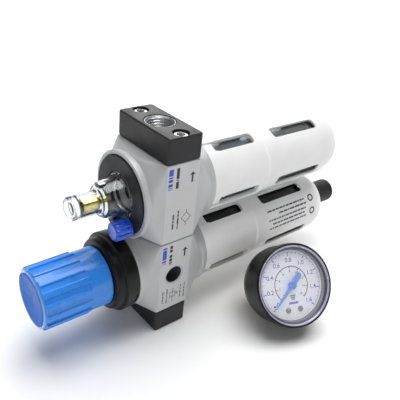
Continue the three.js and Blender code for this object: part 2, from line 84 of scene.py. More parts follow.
FILTER_Z = middle("knob_end_cap").z / MM
OILER_Z = middle("drip_adjuster").z / MM
JOINT_Z = middle("module_seal").z / MM
SCREW_Y = axis_of("outlet_block_screw_rear")[1]
HALF_DEPTH = part_box("inlet_block")[1].x
HALF_WIDTH = part_box("inlet_block")[1].y
KNOB_END = part_box("adjusting_knob")[0].x
GUARD_END = part_box("filter_bowl_guard")[1].x
DRAIN_END = part_box("drain_knob")[1].x

FR_AXIS = (0, 0, FILTER_Z)
L_AXIS = (0, 0, OILER_Z)
FILLER_AXIS = axis_of("oil_filler_cap")
RELIEF_AXIS = axis_of("relief_plug")
PICKUP_AXIS = (0, axis_of("pickup_tube")[1], OILER_Z)


def facing(right, out):
    """The turn that brings +X to right and +Z to out."""
    return Matrix((right, out.cross(right), out)).transposed().to_4x4()


def gauge_frame():
    """The gauge's own frame, with +Z out of the dial and +Y up it."""
    turn = next(j for j in frame["joints"] if j["name"] == "pointer_turn")
    out = -Vector(turn["axis"]).normalized()
    right = Vector((0, 0, 1)).cross(out).normalized()
    return Matrix.Translation(turn["pos_m"]) @ facing(right, out) @ Matrix.Scale(MM, 4)


TO_GAUGE = gauge_frame()

GAUGE_BODIES = ("gauge", "pointer")
BODY_OF = {}
for body_name, members in frame["record"]["behaviour"]["bodies"].items():
    for member in members:
        BODY_OF[member] = body_name


# ---- outlines
def eased(points, reach, closed=False, steps=3):
    """A polyline with rounded corners. Each curve starts and ends reach away from its corner."""
    count = len(points)
    smooth = []
    for i, corner in enumerate(points):
        if not closed and i in (0, count - 1):
            smooth.append(tuple(corner))
            continue
        corner = Vector(corner)
        before = Vector(points[i - 1]) - corner
        after = Vector(points[(i + 1) % count]) - corner
        start = corner + before * min(0.45, reach / max(before.length, 1e-9))
        end = corner + after * min(0.45, reach / max(after.length, 1e-9))
        for k in range(steps + 1):
            t = k / steps
            point = start * (1 - t) ** 2 + corner * 2 * t * (1 - t) + end * t ** 2
            smooth.append(tuple(point))
    return smooth


def span(start, end, step):
    """Evenly spaced numbers from start to end, about step apart."""
    count = max(1, round(abs(end - start) / step))
    return [start + (end - start) * k / count for k in range(count + 1)]


def circle(x, radius):
    """A round section for loft()."""
    return (x, radius, radius, radius)


def rounded_rectangle(half_u, half_v, corner, arc=4):
    points = []
    for quarter, (sign_u, sign_v) in enumerate(((1, 1), (-1, 1), (-1, -1), (1, -1))):
        for k in range(arc + 1):
            angle = radians(90 * (quarter + k / arc))
            points.append((sign_u * (half_u - corner) + corner * cos(angle),
                           sign_v * (half_v - corner) + corner * sin(angle)))
    return points


# ---- meshes
def linked(name, data):
    """A new object in the scene."""
    made = bpy.data.objects.new(name, data)
    bpy.context.scene.collection.objects.link(made)
    return made


def evaluated(thing):
    """The mesh of an object with its modifiers. The object itself is removed."""
    graph = bpy.context.evaluated_depsgraph_get()
    mesh = bpy.data.meshes.new_from_object(thing.evaluated_get(graph))
    bpy.data.objects.remove(thing)
    return mesh


def build(verts, faces):
    mesh = bpy.data.meshes.new("shape")
    mesh.from_pydata(verts, [], faces)
    work = bmesh.new()
    work.from_mesh(mesh)
    bmesh.ops.remove_doubles(work, verts=work.verts, dist=1e-4)
    bmesh.ops.dissolve_degenerate(work, edges=work.edges, dist=1e-5)
    bmesh.ops.recalc_face_normals(work, faces=work.faces)
    work.to_mesh(mesh)
    work.free()
    return mesh


def placed(along, u, v, axis, at):
    """A point at along on an axis, with u and v across it."""
    point = {"x": (along, -u, v), "y": (u, along, v), "z": (u, v, along)}[axis]
    return tuple(a + b for a, b in zip(point, at))


def skin(rings, closed):
    """Faces between rings of vertex numbers. A ring of one number is a point on the axis."""
    faces = []
    pairs = list(zip(rings, rings[1:]))
    if closed:
        pairs.append((rings[-1], rings[0]))
    for first, second in pairs:
        for k in range(max(len(first), len(second))):
            near = [first[k % len(first)], first[(k + 1) % len(first)]]
            far = [second[(k + 1) % len(second)], second[k % len(second)]]
            face = tuple(dict.fromkeys(near + far))
            if len(face) > 2:
                faces.append(face)
    return faces


def sheathed(rings, closed=False, capped=False):
    """The mesh between rings of points. Caps close its first and last ring."""
    verts = [point for around in rings for point in around]
    numbers = iter(range(len(verts)))
    numbered = [[next(numbers) for _ in around] for around in rings]
    caps = [tuple(numbered[0]), tuple(numbered[-1])] if capped else []
    return build(verts, skin(numbered, closed) + caps)


def lathe(profile, sides=96, axis="x", at=(0, 0, 0), relief=None, angles=None):
    """(along, radius) points turned about an axis. relief(along, angle, radius) adds to a radius.
    The profile starts and ends on the axis, or closes on itself."""
    turns = angles or [360 * k / sides for k in range(sides)]
    rings = []
    for along, radius in profile:
        if radius < 1e-6:
            rings.append([placed(along, 0, 0, axis, at)])
            continue
        around = []
        for angle in turns:
            grown = radius + (relief(along, angle, radius) if relief else 0)
            u = grown * cos(radians(angle))
            v = grown * sin(radians(angle))
            around.append(placed(along, u, v, axis, at))
        rings.append(around)
    return sheathed(rings, closed=len(rings[0]) > 1 and len(rings[-1]) > 1)


def loft(sections, arc=8, axis="x", at=(0, 0, 0), closed=False):
    """Rounded rectangles (along, half_u, half_v, corner) joined in order. Open ends get caps."""
    rings = []
    for along, half_u, half_v, corner in sections:
        outline = rounded_rectangle(half_u, half_v, corner, arc)
        rings.append([placed(along, u, v, axis, at) for u, v in outline])
    return sheathed(rings, closed, capped=not closed)


def slab(low, high, half_u, half_v, corner, edge, axis="z", at=(0, 0, 0)):
    """A rounded rectangle between two levels, with its outer edges rounded too."""
    steps = 4
    rising = []
    for k in range(steps + 1):
        angle = pi / 2 * k / steps
        inset = edge * (1 - sin(angle))
        rising.append((edge * (1 - cos(angle)), inset))
    sections = [(low + depth, half_u - inset, half_v - inset, corner) for depth, inset in rising]
    sections += [
        (high - depth, half_u - inset, half_v - inset, corner)
        for depth, inset in reversed(rising)
    ]
    return loft(sections, 6, axis, at)


def rod(radius, start, end, axis="x", at=(0, 0, 0), sides=48):
    return lathe([(start, 0), (start, radius), (end, radius), (end, 0)], sides, axis, at)


def ring(major, minor, along, axis="x", at=(0, 0, 0), sides=72):
    """A ring of round section, such as a seal."""
    section = []
    for turn in range(0, 360, 30):
        angle = radians(turn)
        section.append((along + minor * cos(angle), major + minor * sin(angle)))
    return lathe(section, sides, axis, at)


def wrapped(x, angle, half_x, half_s, corner, levels, at, arc=5):
    """A rounded rectangle bent round an axis along X. Each level is (radius, growth), and half_s
    is its half width along the arc at the last level."""
    verts, rings = [], []
    outer = levels[-1][0]
    for radius, growth in levels:
        outline = rounded_rectangle(half_x + growth, half_s + growth, corner + growth, arc)
        around = []
        for dx, ds in outline:
            turn = radians(angle) + ds / outer
            around.append(len(verts))
            verts.append(placed(x + dx, radius * cos(turn), radius * sin(turn), "x", at))
        rings.append(around)
    turn = radians(angle)
    ends = []
    for radius, _ in (levels[0], levels[-1]):
        ends.append([len(verts)])
        verts.append(placed(x, radius * cos(turn), radius * sin(turn), "x", at))
    return build(verts, skin([ends[0], *rings, ends[1]], False))


def prism(outline, low, high, axis="y"):
    """A flat outline of (u, v) points given thickness along an axis."""
    count = len(outline)
    here = (0, 0, 0)
    verts = [placed(level, u, v, axis, here) for level in (low, high) for u, v in outline]
    faces = [tuple(range(count)), tuple(range(2 * count - 1, count - 1, -1))]
    for k in range(count):
        following = (k + 1) % count
        faces.append((k, following, count + following, count + k))
    return build(verts, faces)


def merged(meshes):
    """Several meshes as one, without joining their surfaces."""
    work = bmesh.new()
    for mesh in meshes:
        work.from_mesh(mesh)
        bpy.data.meshes.remove(mesh)
    whole = bpy.data.meshes.new("shape")
    work.to_mesh(whole)
    work.free()
    return whole


def carved(mesh, cutters, operation="DIFFERENCE"):
    """The mesh with each cutter taken away from it, or joined to it."""
    block = linked("carved", mesh)
    tools = [linked("cutter", cutter) for cutter in cutters]
    for tool in tools:
        step = block.modifiers.new("cut", "BOOLEAN")
        step.operation = operation
        step.solver = "EXACT"
        step.object = tool
    result = evaluated(block)
    for tool in tools:
        bpy.data.objects.remove(tool)
    return result


def coil(radius, wire, start, end, turns, at):
    """A helical spring along X, in ten-sided sections of wire."""
    rings = []
    count = round(turns * 36)
    rise = (end - start) / (2 * pi * turns)
    lean = atan2(rise, radius)
    for i in range(count + 1):
        turn = 2 * pi * turns * i / count
        x = start + (end - start) * i / count
        section = []
        for k in range(10):
            angle = 2 * pi * k / 10
            out, along = wire * cos(angle), wire * sin(angle)
            reach = radius + out
            shift = -along * sin(lean) / radius
            u = reach * cos(turn + shift)
            v = reach * sin(turn + shift)
            section.append(placed(x + along * cos(lean), u, v, "x", at))
        rings.append(section)
    return sheathed(rings, capped=True)


# ---- materials
def linear(code):
    """An sRGB colour such as 0x2A2A30 as linear numbers."""
    values = [(code >> shift & 255) / 255 for shift in (16, 8, 0)]
    return [v / 12.92 if v <= 0.04045 else ((v + 0.055) / 1.055) ** 2.4 for v in values]


def scaled(color, factor):
    return (*[min(1.0, max(0.0, c * factor)) for c in color], 1)


def map_range(tree, source, taken, given):
    """The values of source between two numbers, spread between two others."""
    node = tree.nodes.new("ShaderNodeMapRange")
    for name, value in zip(("From Min", "From Max", "To Min", "To Max"), (*taken, *given)):
        node.inputs[name].default_value = value
    tree.links.new(source, node.inputs["Value"])
    return node.outputs["Result"]


NOISE_SPAN = (0.3, 0.7)    # where most values of a noise texture lie
BROAD = 40                 # how much coarser the mottling is than the grain
GRAIN_SHARE = 0.35         # how far the grain shows in the colour
GRAIN_TINT = 1.5           # against the tint of the mottling
EDGE_SPAN = (0.52, 0.62)   # pointiness, from a flat face to a sharp edge
# how far sharp edges are lightened, as a painted highlight on them
EDGE_HIGHLIGHT_LIFT = 0.12
EDGE_HIGHLIGHT_GAIN = 1.6
COAT_ROUGHNESS = 0.08


def material(
    name, code, rough, metal=0.0, grain=2500, bump=0.15, tint=0.08, spread=0.08,
    stretch=(1, 1, 1), edge_highlight=0.0, clear=0.0, ior=1.5, coat=0.0, depth=0.00003, alpha=1.0,
):
    """A moulded, coated, turned or clear finish. grain is the scale of its texture, stretch draws
    the texture out, edge_highlight lightens the sharp edges as a painted highlight, and depth is
    that of the bumps in metres."""
    made = bpy.data.materials.new(name)
    made.use_nodes = True
    tree = made.node_tree
    nodes, links = tree.nodes, tree.links
    shader = nodes["Principled BSDF"]
    color = linear(code)

    place = nodes.new("ShaderNodeTexCoord")
    mapping = nodes.new("ShaderNodeMapping")
    mapping.inputs["Scale"].default_value = stretch
    links.new(place.outputs["Object"], mapping.inputs["Vector"])

    def noise(scale, detail):
        node = nodes.new("ShaderNodeTexNoise")
        node.inputs["Scale"].default_value = scale
        node.inputs["Detail"].default_value = detail
        links.new(mapping.outputs["Vector"], node.inputs["Vector"])
        return node.outputs["Fac"]

    def ramp(source, low, high):
        return map_range(tree, source, NOISE_SPAN, (low, high))

    def mix(factor, first, second):
        node = nodes.new("ShaderNodeMix")
        node.data_type = "RGBA"
        links.new(factor, node.inputs["Factor"])
        for socket, value in (("A", first), ("B", second)):
            target = next(i for i in node.inputs if i.name == socket and i.type == "RGBA")
            if isinstance(value, tuple):
                target.default_value = value
            else:
                links.new(value, target)
        return next(o for o in node.outputs if o.type == "RGBA")

    mottling = noise(grain / BROAD, 3)
    specks = noise(grain, 4)
    base = mix(ramp(mottling, 0, 1), scaled(color, 1 - tint), scaled(color, 1 + tint))
    base = mix(ramp(specks, 0, GRAIN_SHARE), base, scaled(color, 1 + GRAIN_TINT * tint))
    # Painted highlight: sharp edges, found by their pointiness, are lightened.
    if edge_highlight:
        shape = nodes.new("ShaderNodeNewGeometry")
        edge = map_range(tree, shape.outputs["Pointiness"], EDGE_SPAN, (0, edge_highlight))
        base = mix(edge, base, scaled([c + EDGE_HIGHLIGHT_LIFT for c in color], EDGE_HIGHLIGHT_GAIN))
    links.new(base, shader.inputs["Base Color"])
    links.new(ramp(mottling, rough - spread, rough + spread), shader.inputs["Roughness"])
    for socket, value in (
        ("Metallic", metal), ("IOR", ior), ("Transmission Weight", clear), ("Coat Weight", coat),
        ("Coat Roughness", COAT_ROUGHNESS), ("Alpha", alpha),
    ):
        shader.inputs[socket].default_value = value
    if bump:
        relief = nodes.new("ShaderNodeBump")
        relief.inputs["Strength"].default_value = bump
        relief.inputs["Distance"].default_value = depth
        links.new(specks, relief.inputs["Height"])
        links.new(relief.outputs["Normal"], shader.inputs["Normal"])
    return made


HOUSING = material("coated_grey", 0xB9BABB, 0.4, metal=0.15, grain=3500, bump=0.3)
WHITE = material("coated_white", 0xECECEC, 0.38, grain=3000, bump=0.2, tint=0.03)
LABEL = material("label_film", 0xC8C8C9, 0.5, grain=5000, bump=0.1, tint=0.03)
# The black finishes paint highlights on their sharp edges by lightening them.
BLOCK = material("coated_black", 0x111115, 0.4, grain=3500, bump=0.5, edge_highlight=0.25, ior=1.38)
BLACK = material("black_plastic", 0x0D0D0E, 0.34, grain=3000, bump=0.3, edge_highlight=0.1, ior=1.33)
DISC = material("grained_black", 0x1E1E21, 0.46, grain=4500, bump=0.8, edge_highlight=0.1, ior=1.35)
BLUE = material("blue_plastic", 0x2A88E8, 0.32, grain=1800, bump=0.1, tint=0.07, coat=0.2)
DEEP_BLUE = material("deep_blue_plastic", 0x184EC6, 0.3, grain=1800, bump=0.1, coat=0.3)
PALE_BLUE = material("pale_blue_plastic", 0x2870D2, 0.3, grain=1500, bump=0.05, ior=1.12)
# Pale blue as a painted sheen: the rim of the knob's clear end cap is coloured lighter to stand in
# for its glassy shine.
RIM_SHEEN_BLUE = material("blue_painted_rim_sheen", 0x6CA8EC, 0.15, grain=1500, bump=0.02, coat=1.0)
SHEER = {"grain": 900, "bump": 0.02, "tint": 0.01, "spread": 0.02}
CLEAR = material("clear_plastic", 0xEEF3F3, 0.04, clear=1.0, ior=1.46, **SHEER)
LENS = material("lens_plastic", 0xF4F6F8, 0.06, alpha=0.14, **SHEER)
MOULDED = {"grain": 900, "bump": 0.03, "spread": 0.05, "ior": 1.4}
BOWL = material("bowl_plastic", 0xE4EAEE, 0.12, tint=0.02, clear=0.9, **MOULDED)
SMOKED = material("smoked_plastic", 0x26262C, 0.14, tint=0.05, clear=0.6, **MOULDED)
BRASS = material("turned_brass", 0xEAD88A, 0.26, metal=0.9, grain=1500, stretch=(6, 1, 1))
STEEL = material("bright_steel", 0xD2D3D6, 0.28, metal=1.0, grain=2200, stretch=(1, 1, 6))
NICKEL = material("nickel_screw", 0x77777C, 0.18, metal=1.0, grain=2200, bump=0.1)
DARK_STEEL = material("dark_steel", 0x2A2A2E, 0.35, metal=0.6, grain=2200, bump=0.2)
SILVER = material("silver_ring", 0xC2C0D4, 0.3, metal=0.5, bump=0.1, tint=0.04)
# The dark colour of the dial's recess wall is painted shade of the recess.
RECESS_SHADE_RING = material("painted_recess_shade", 0x5A5866, 0.4, metal=0.3, bump=0.1, tint=0.05)
RUBBER = material("black_rubber", 0x101011, 0.62, bump=0.4)
NYLON = material("off_white_plastic", 0xE0DED4, 0.6, grain=2600, bump=0.9, depth=0.00008)
DIAL = material("dial_print", 0xF2F2FF, 0.5, bump=0.03, tint=0.02)
PRINTED = {"grain": 4000, "bump": 0.0}
BLUE_INK = material("blue_ink", 0x2A50BC, 0.5, tint=0.12, **PRINTED)
DARK_INK = material("dark_ink", 0x1C1C22, 0.5, tint=0.15, **PRINTED)
GREY_INK = material("grey_ink", 0x45454A, 0.5, tint=0.15, **PRINTED)
NEEDLE = material("blue_enamel", 0x2A80E4, 0.35, grain=2000, bump=0.05, tint=0.05, coat=0.2)


# ---- adding pieces
SHARP_ANGLE = radians(38)


def add(name, mesh, finish, stands_for=None, on=None):
    """A piece of the object. It stands for a CAD node, or lies on one."""
    node = stands_for or on
    mesh.transform(TO_GAUGE if BODY_OF[node] in GAUGE_BODIES else TO_ROW)
    mesh.shade_smooth()
    mesh.set_sharp_from_angle(angle=SHARP_ANGLE)
    mesh.materials.clear()
    mesh.materials.append(finish)
    piece = linked(name, mesh)
    shading = piece.modifiers.new("weighted_normals", "WEIGHTED_NORMAL")
    shading.keep_sharp = True
    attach(piece, BODY_OF[node])
    if stands_for:
        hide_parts(stands_for)
    return piece


def fine(node, mesh, finish):
    """The finely shaped piece that stands for a CAD node."""
    return add(f"{node}_fine", mesh, finish, stands_for=node)


def turned(node, profile, finish, ease, sides=96, at=FR_AXIS):
    """A CAD node as a profile with eased corners, turned about an axis along X."""
    curve = eased(profile, ease, closed=profile[0][1] > 0)
    fine(node, lathe(curve, sides, at=at), finish)


def spring(node, mesh):
    """A coil spring, on a mesh of its own."""
    piece = fine(node, mesh, STEEL)
    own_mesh(piece)


def thread(minor, depth, pitch, limit):
    """Relief of a screw thread on the surfaces whose radius is below limit."""
    def relief(along, angle, radius):
        if radius >= limit:
            return 0
        phase = (along / pitch + angle / 360) % 1
        return depth * (1 - abs(2 * phase - 1)) + (minor - radius)
    return relief


# ---- port blocks
PORT_PITCH = 1.337     # G1/4
GAUGE_PITCH = 0.907    # G1/8


def port_block(name):
    low, high = part_box(f"{name}_block")
    outer, inner, side = (low.z, high.z, 1) if name == "inlet" else (high.z, low.z, -1)

    def at(depth):
        return outer + side * depth

    body = slab(low.z, high.z, HALF_DEPTH, HALF_WIDTH, 1.3, 0.7)
    cutters = [lathe([
        (at(-1), 0), (at(-1), 8.1), (at(0.35), 7.1), (inner + side, 7.1), (inner + side, 0),
    ], axis="z")]
    for y in (-SCREW_Y, SCREW_Y):
        cutters.append(lathe([
            (at(-1), 0), (at(-1), 4.7), (at(0.3), 3.65), (at(5.5), 3.65), (at(5.5), 2.1),
            (inner + side, 2.1), (inner + side, 0),
        ], 48, "z", (0, y, 0)))
    fine(f"{name}_block", carved(body, cutters), BLOCK)

    walls = [(at(0.3), 6.7), (at(0.3), 6.85), (at(11.4), 6.85), (at(11.4), 5.8)]
    walls += [(at(depth), 5.8) for depth in span(11.2, 1.1, 0.12)]
    fine(f"{name}_thread_insert",
         lathe(walls, axis="z", relief=thread(5.75, 0.75, PORT_PITCH, 5.9)), STEEL)

    for place, y in (("front", -SCREW_Y), ("rear", SCREW_Y)):
        head = [(at(0.8), 0), (at(0.8), 3.2), (at(5.3), 3.2), (at(5.3), 1.8), (at(20), 1.8),
                (at(20), 0)]
        screw = lathe(eased(head, 0.35), 48, "z", (0, y, 0))
        socket = lathe([
            (at(0), 0), (at(0), 2.8), (at(1.15), 1.75), (at(3.6), 1.7), (at(4.2), 0),
        ], 6, "z", (0, y, 0))
        fine(f"{name}_block_screw_{place}", carved(screw, [socket]), STEEL)


# ---- housings
WEB_X = 15.8
BARREL_R = 19.2
RIM_R = 19.6
FLANGE_R = 20.4
HOUSING_LOW, HOUSING_HIGH = part_box("regulator_housing")
FRONT_X = HOUSING_LOW.x
REAR_X = HOUSING_HIGH.x
HALF_PITCH = (HOUSING_HIGH.z - HOUSING_LOW.z) / 2
CORE_EDGE = 0.55


def core_sections():
    """The square core, the webs that slope to the barrel, and the hollow that takes a bowl."""
    core = (HALF_WIDTH, HALF_PITCH, CORE_EDGE)
    return [
        circle(-WEB_X, BARREL_R), (-HALF_DEPTH, *core), (HALF_DEPTH, *core),
        circle(WEB_X, BARREL_R), circle(17.6, BARREL_R), circle(18.3, RIM_R),
        circle(REAR_X, RIM_R), circle(REAR_X, 18.5), circle(13.5, 18.5), circle(13.5, 16.5),
    ]


def stud_holes(start, end):
    return [rod(2.05, start, end, "z", (0, y, 0), 24) for y in (-SCREW_Y, SCREW_Y)]


def regulator_housing():
    z = FILTER_Z
    low, high = part_box("regulator_housing")
    sections = [
        circle(-3, 12), circle(FRONT_X, 12), circle(FRONT_X, BARREL_R), *core_sections(),
        circle(5.5, 16.5), circle(5.5, 4.2), circle(-3, 4.2),
    ]
    body = loft(eased(sections, 0.45, closed=True), 24, at=FR_AXIS, closed=True)
    mouth = [(-HALF_WIDTH - 1, 0), (-HALF_WIDTH - 1, 6.1), (-HALF_WIDTH + 0.3, 4.85)]
    mouth += [(y, 4.85) for y in span(-HALF_WIDTH + 0.6, -11.4, 0.12)] + [(-11, 0)]
    gauge_port = lathe(mouth, 72, "y", FR_AXIS, relief=thread(4.3, 0.6, GAUGE_PITCH, 4.9))
    rear_port = lathe([
        (11.5, 0), (11.5, 4.85), (HALF_WIDTH - 0.3, 4.85), (HALF_WIDTH + 1, 6.1),
        (HALF_WIDTH + 1, 0),
    ], 72, "y", FR_AXIS)
    cutters = [gauge_port, rear_port, rod(5.5, low.z - 1, low.z + 6.5, "z")]
    cutters += [rod(3.2, z + 9, high.z + 1, "z", (-3, 0, 0))]
    cutters += stud_holes(low.z - 1, low.z + 9) + stud_holes(high.z - 10, high.z + 1)
    fine("regulator_housing", carved(body, cutters), HOUSING)

    lining = [(-HALF_WIDTH + 0.5, 4.25), (-HALF_WIDTH + 0.5, 4.8), (-11.05, 4.8), (-11.05, 0)]
    lining += [(-11.4, 0)] + [(y, 4.0) for y in span(-11.4, -HALF_WIDTH + 0.6, 0.12)]
    sleeve = lathe(lining, 72, "y", FR_AXIS, relief=thread(4.0, 0.55, GAUGE_PITCH, 4.1))
    add("gauge_port_thread", sleeve, DARK_STEEL, on="regulator_housing")

    plug = lathe(eased([
        (12.4, 0), (12.4, 4.6), (HALF_WIDTH - 0.4, 4.6), (HALF_WIDTH - 0.4, 0),
    ], 0.4), 64, "y", FR_AXIS)
    key = lathe([
        (HALF_WIDTH - 4, 0), (HALF_WIDTH - 4, 2.4), (HALF_WIDTH - 0.8, 2.4),
        (HALF_WIDTH + 1, 3.4), (HALF_WIDTH + 1, 0),
    ], 6, "y", FR_AXIS)
    fine("rear_port_plug", carved(plug, [key]), STEEL)


def lubricator_housing():
    low, high = part_box("lubricator_housing")
    sections = [
        circle(-10, 8.6), circle(-17.4, 8.6), circle(-17.4, 18.5), circle(FRONT_X, 18.5),
        circle(FRONT_X, FLANGE_R), circle(-16.9, FLANGE_R), circle(-16.4, BARREL_R),
        *core_sections(), circle(6.5, 16.5),
    ]
    body = loft([circle(-10, 0.5), *eased(sections, 0.45)[1:-1], circle(6.5, 0.5)], 24,
                at=L_AXIS)
    cutters = [
        rod(3.1, -25, -11, "x", FILLER_AXIS),
        rod(1.9, -25, -13.5, "x", RELIEF_AXIS),
        rod(2.2, 3.5, 7.5, "x", PICKUP_AXIS),
        rod(3.2, low.z - 1, OILER_Z - 9, "z", (-3, 0, 0)),
        rod(5.2, OILER_Z - 6, high.z + 1, "z"),
    ]
    cutters += stud_holes(low.z - 1, low.z + 10) + stud_holes(high.z - 9, high.z + 1)
    fine("lubricator_housing", carved(body, cutters), HOUSING)

    chamber = eased([
        (-17.3, 7.6), (-17.3, 8.5), (-10.1, 8.5), (-10.1, 0.6), (-11, 0.6), (-11.4, 2.2),
        (-15.6, 1.9), (-15.6, 3), (-12.2, 3.6), (-12.2, 7.6),
    ], 0.3, closed=True)
    add("drip_chamber", lathe(chamber, at=L_AXIS), DISC, on="lubricator_housing")


def module_joint():
    fine("module_seal", ring(4.6, 0.7, JOINT_Z, "z", (-3, 0, 0)), RUBBER)
    for place, y in (("front", -SCREW_Y), ("rear", SCREW_Y)):
        low, high = part_box(f"module_stud_{place}")
        profile = [(low.z, 0), (low.z, 1.6)]
        profile += [(z, 1.6) for z in span(low.z + 0.2, high.z - 0.2, 0.1)]
        profile += [(high.z, 1.6), (high.z, 0)]
        stud = lathe(profile, 32, "z", (0, y, 0), relief=thread(1.5, 0.3, 0.7, 1.7))
        fine(f"module_stud_{place}", stud, STEEL)
    venturi = eased([(72, 4), (72, 4.9), (88, 4.9), (88, 4), (81, 2), (79, 2)], 0.3, True)
    fine("venturi_insert", lathe(venturi, 64, "z"), BRASS)


# ---- printed labels
FACE_Y = -HALF_WIDTH
FILM = 0.06
INK = 0.03


def front_plate(x, z, half_x, half_z, corner, depth, start=0.0):
    """A thin rounded plate on the front face."""
    outline = [(x + u, z + v) for u, v in rounded_rectangle(half_x, half_z, corner)]
    return prism(outline, FACE_Y - start - depth, FACE_Y - start)


def bars(rng, x, low, high, width, pieces):
    """A line of plain bars of uneven length that runs up the label."""
    cuts = sorted(rng.uniform(low, high) for _ in range(pieces - 1))
    levels = [low, *cuts, high]
    made = []
    for a, b in zip(levels, levels[1:]):
        if b - a > 0.7:
            made.append(front_plate(x, (a + b) / 2, width / 2, (b - a) / 2 - 0.22, 0.08, INK, FILM))
    return made


def inked(outline):
    """An outline printed on the label."""
    return prism(outline, FACE_Y - FILM - INK, FACE_Y - FILM)


def arrow(x, tip, height, half_width):
    outline = [
        (x, tip), (x - half_width, tip - 1.7), (x - 0.45, tip - 1.5), (x - 0.45, tip - height),
        (x + 0.45, tip - height), (x + 0.45, tip - 1.5), (x + half_width, tip - 1.7),
    ]
    return inked(outline)


def stroke(start, end, width):
    """A straight printed line on the label."""
    a, b = Vector(start), Vector(end)
    along = (b - a).normalized() * width / 2
    across = Vector((-along.y, along.x))
    outline = [a - along - across, b + along - across, b + along + across, a - along + across]
    return inked([tuple(p) for p in outline])


def polyline(points, width, closed=True):
    ends = points[1:] + points[:1] if closed else points[1:]
    return [stroke(a, b, width) for a, b in zip(points, ends)]


def labels():
    rng = random.Random(7)
    for node, z in (("lubricator_housing", OILER_Z), ("regulator_housing", FILTER_Z)):
        top = z + HALF_PITCH
        is_regulator = node == "regulator_housing"
        film = front_plate(0, z, HALF_DEPTH - 0.35, HALF_PITCH - 0.35, 0.5, FILM)
        if is_regulator:
            film = carved(film, [rod(5.35, FACE_Y - 2, FACE_Y + 2, "y", FR_AXIS, 72)])
        add(f"{node}_label", film, LABEL, on=node)

        blue = bars(rng, -6.8, top - 11.9, top - 1.6, 2.3, 7)
        add(f"{node}_label_blue_mark", merged(blue), BLUE_INK, on=node)

        dark = bars(rng, -3.1, top - 13, top - 1.6, 1.5, 8)
        dark.append(arrow(5.1, top - 5.3, 5.2, 1.7))
        if is_regulator:
            for x, low, high in ((-6, 16, 24), (-3.6, 15.6, 25), (4.6, 16.3, 24.6), (7, 15.3, 25)):
                dark += bars(rng, x, low, high, 0.55, 5)
            square = [(-1.6, 18.6), (1.4, 18.6), (1.4, 21.6), (-1.6, 21.6)]
            dark += polyline(square, 0.25)
            dark += polyline([(-0.1, 16), (-0.1, 24)], 0.25, closed=False)
            dark += polyline([(1.4, 20.1), (2.6, 20.9), (2.2, 19.4), (3.2, 20.1)], 0.22, False)
        else:
            for x, low, high in ((-1.1, 58.6, 68.6), (-3.8, 59, 67.7)):
                dark += bars(rng, x, low, high, 0.8, 5)
            centre_x, centre_z, reach = 3.5, 63.7, 2.7
            diamond = [
                (centre_x, centre_z + reach), (centre_x - reach, centre_z),
                (centre_x, centre_z - reach), (centre_x + reach, centre_z),
            ]
            dark += polyline(diamond, 0.3)
            for sign in (1, -1):
                start = (centre_x, centre_z + sign * reach)
                end = (centre_x, centre_z + sign * (reach + 1.4))
                dark += polyline([start, end], 0.3, closed=False)
        add(f"{node}_label_marks", merged(dark), DARK_INK, on=node)


# ---- regulator
RIB_COUNT = 16
RIB_HEIGHT = 0.85
RIB_START = -40.8
RIB_END = -62.1
RIB_SLOPE = 0.05       # half the width of a rib's side, as a share of the rib pitch
FIRST_RIB = 39.3       # degrees to the middle of a rib
RIB_PHASES = (0, 0.12, 0.23, 0.27, 0.31, 0.4, 0.5, 0.6, 0.69, 0.73, 0.77, 0.88)


def rib_height(along, angle, radius):
    if radius < 13.5 or not RIB_END < along < RIB_START:
        return 0
    phase = (angle * RIB_COUNT / 360) % 1
    edge = min(abs(phase - 0.25), abs(phase - 0.75))
    raised = 0.25 < phase < 0.75
    side = min(1, 0.5 + edge / RIB_SLOPE) if raised else max(0, 0.5 - edge / RIB_SLOPE)
    return RIB_HEIGHT * side


def regulator_knob():
    first_land = FIRST_RIB / 360 * RIB_COUNT - 0.5
    angles = [
        360 * (rib + phase) / RIB_COUNT for rib in range(RIB_COUNT) for phase in RIB_PHASES
    ]
    shift = 360 * (first_land % 1) / RIB_COUNT

    def relief(along, angle, radius):
        return rib_height(along, angle - shift, radius)

    outside = eased([(-61, 0), (-61, 11.7), (KNOB_END, 12.3), (KNOB_END, 13.1)], 0.3)
    outside += [(-62.3, 13.6), (RIB_END - 0.01, 13.7), (RIB_END + 0.25, 13.7)]
    outside += [(x, 13.7 + (x - RIB_END) * 0.012) for x in span(-60, -42, 3)]
    outside += [(RIB_START - 0.25, 13.95), (RIB_START + 0.01, 14.15), (-36, 14.2), (-31, 14.3)]
    outside += [(-30.5, 14.2), (-30.4, 13.9), (-30.4, 12), (-57.5, 12), (-57.5, 6.6)]
    outside += [(-50.5, 6.6), (-50.5, 4.35), (-58.3, 4.35), (-58.3, 0)]
    knob = lathe(outside, at=FR_AXIS, relief=relief, angles=[a + shift for a in angles])
    mark = wrapped(-36.4, 54, 4.2, 0.5, 0.45, [(13.8, 0), (14.4, 0), (14.75, -0.25)], FR_AXIS)
    dot = wrapped(-36.2, 70.7, 0.7, 0.7, 0.6, [(13.8, 0), (14.3, 0), (14.55, -0.3)], FR_AXIS)
    fine("adjusting_knob", carved(knob, [mark, dot], "UNION"), BLUE)

    cap = eased([(-61.3, 0), (-61.3, 11.5), (-62.7, 12.3), (-63.3, 11.6)], 0.4)[:-1]
    cap += [(-63.3 + 0.9 * (1 - r / 11.4) ** 0.6, r) for r in (11.2, 10, 8, 5.5, 3, 1.5)]
    cap += [(-62.35, 0)]
    fine("knob_end_cap", lathe(cap, at=FR_AXIS), PALE_BLUE)
    # The rim's pale colour is a painted sheen of the cap's clear edge.
    rim = eased([(-62.5, 12.4), (-63.1, 12.35), (-63.1, 12.9), (-62.5, 13.4)], 0.2, closed=True)
    add("knob_end_rim", lathe(rim, at=FR_AXIS), RIM_SHEEN_BLUE, on="knob_end_cap")


